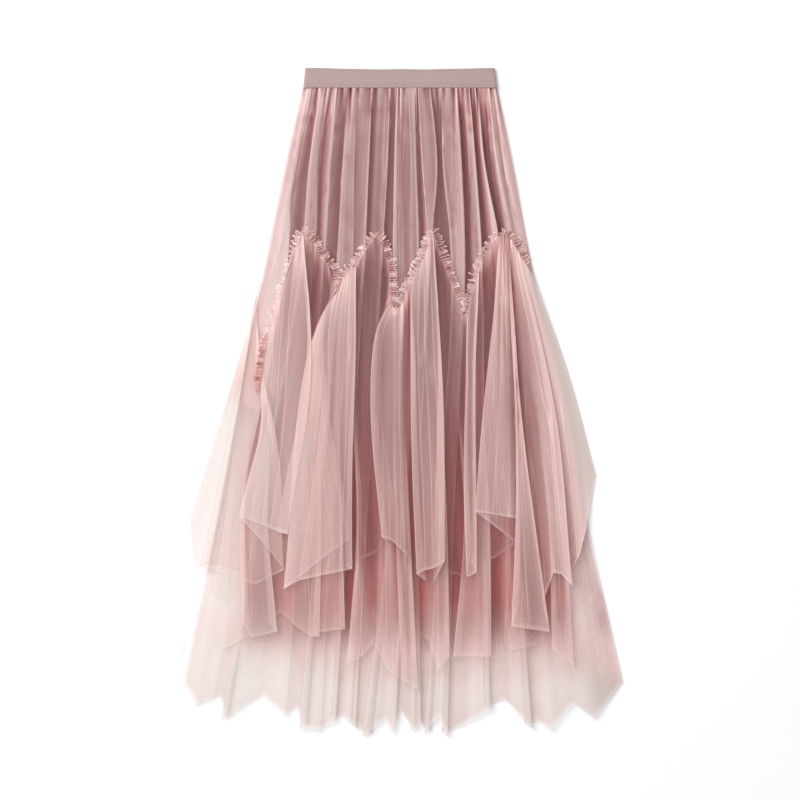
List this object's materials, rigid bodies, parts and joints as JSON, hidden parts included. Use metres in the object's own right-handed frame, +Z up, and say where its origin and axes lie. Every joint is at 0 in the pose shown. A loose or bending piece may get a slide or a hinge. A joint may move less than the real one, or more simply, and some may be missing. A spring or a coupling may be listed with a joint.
{
  "type": "tulle skirt",
  "caption": "Long tulle skirt laid flat, with an elastic waistband, a lining, and gathered net tiers sewn on in zigzag lines under ruffled headings, all with pointed hems.",
  "frame": {"origin": "middle of the skirt's outline, on the surface that it lies on", "axes": "+Y from hem to waist, +Z up out of the front, +X to the right as the picture shows it"},
  "size_m": [0.616, 0.936, 0.0277],
  "materials": {
    "elastic": "ribbed elastic, dusty pink",
    "net": "soft see-through tulle, dusty pink",
    "lining": "smooth plain lining, rose pink"
  },
  "bodies": {
    "root": {"waistband": "elastic", "skirt_front": "net", "skirt_back": "net", "lining_back": "lining", "lining_front": "lining", "upper_tier_front": "net", "upper_tier_back": "net", "lower_tier_front": "net", "lower_tier_back": "net", "heading_1": "net", "heading_2": "net", "heading_3": "net", "heading_4": "net"}
  },
  "joints": []
}
